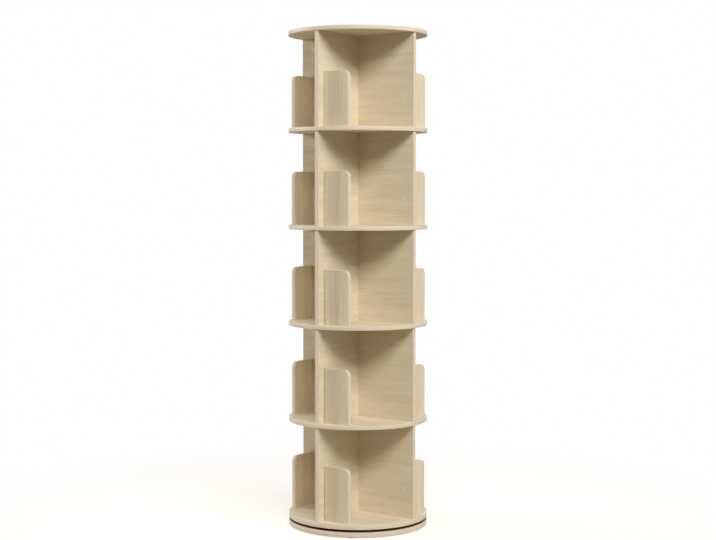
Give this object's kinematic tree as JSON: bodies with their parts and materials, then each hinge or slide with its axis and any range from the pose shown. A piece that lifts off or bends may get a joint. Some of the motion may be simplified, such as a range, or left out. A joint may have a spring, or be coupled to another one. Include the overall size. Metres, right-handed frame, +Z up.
{
  "type": "revolving bookcase",
  "caption": "Free-standing round revolving bookcase: stacked open tiers of crossed panels with low book stops turn together on a ring bearing above a fixed round base.",
  "frame": {"origin": "centre of the footprint on the floor, on the turning axis", "axes": "+Z up along the turning axis; at rest the long panels run along X and the half panels along Y; the front stop stands on the -Y wing and reaches towards +X"},
  "size_m": [0.45, 0.45, 1.6008],
  "materials": {
    "base_board": "satin wood-grain melamine on particle board, same-colour edge band",
    "shelf": "satin wood-grain melamine on particle board, same-colour edge band",
    "top_board": "satin wood-grain melamine on particle board, same-colour edge band",
    "long_panel": "satin wood-grain melamine, grain along the panel's length",
    "half_panel": "satin wood-grain melamine, grain along the panel's length",
    "stop": "satin wood-grain melamine, grain upright",
    "foot_pad": "matt anti-slip rubber",
    "ring_steel": "zinc-plated pressed steel",
    "screw_steel": "zinc-plated steel",
    "ball_steel": "polished bearing steel",
    "cover_cap": "satin plastic in the boards' colour"
  },
  "bodies": {
    "base": {"base_board": "base_board", "foot_pad_1": "foot_pad", "foot_pad_2": "foot_pad", "foot_pad_3": "foot_pad", "foot_pad_4": "foot_pad", "foot_pad_5": "foot_pad", "foot_pad_6": "foot_pad", "bearing_lower_ring": "ring_steel", "base_screw_1": "screw_steel", "base_screw_2": "screw_steel", "base_screw_3": "screw_steel", "base_screw_4": "screw_steel"},
    "ball_race": {"ball_cage": "ball_steel"},
    "carousel": {"bearing_upper_ring": "ring_steel", "shelf_screw_1": "screw_steel", "shelf_screw_2": "screw_steel", "shelf_screw_3": "screw_steel", "shelf_screw_4": "screw_steel", "shelf_1": "shelf", "shelf_2": "shelf", "shelf_3": "shelf", "shelf_4": "shelf", "shelf_5": "shelf", "top_board": "top_board", "long_panel_1": "long_panel", "long_panel_2": "long_panel", "long_panel_3": "long_panel", "long_panel_4": "long_panel", "long_panel_5": "long_panel", "half_panel_front_1": "half_panel", "half_panel_back_1": "half_panel", "half_panel_front_2": "half_panel", "half_panel_back_2": "half_panel", "half_panel_front_3": "half_panel", "half_panel_back_3": "half_panel", "half_panel_front_4": "half_panel", "half_panel_back_4": "half_panel", "half_panel_front_5": "half_panel", "half_panel_back_5": "half_panel", "stop_front_1": "stop", "stop_right_1": "stop", "stop_back_1": "stop", "stop_left_1": "stop", "stop_front_2": "stop", "stop_right_2": "stop", "stop_back_2": "stop", "stop_left_2": "stop", "stop_front_3": "stop", "stop_right_3": "stop", "stop_back_3": "stop", "stop_left_3": "stop", "stop_front_4": "stop", "stop_right_4": "stop", "stop_back_4": "stop", "stop_left_4": "stop", "stop_front_5": "stop", "stop_right_5": "stop", "stop_back_5": "stop", "stop_left_5": "stop"}
  },
  "joints": [
    {"name": "carousel_spin", "type": "hinge", "parent": "base", "child": "carousel", "pos_m": [0, 0, 0.0268], "axis": [0, 0, 1], "continuous": true},
    {"name": "ball_race_spin", "type": "hinge", "parent": "base", "child": "ball_race", "pos_m": [0, 0, 0.0228], "axis": [0, 0, 1], "continuous": true}
  ],
  "couplings": [
    {"joint": "ball_race_spin", "follows": "carousel_spin", "ratio": 0.5}
  ]
}
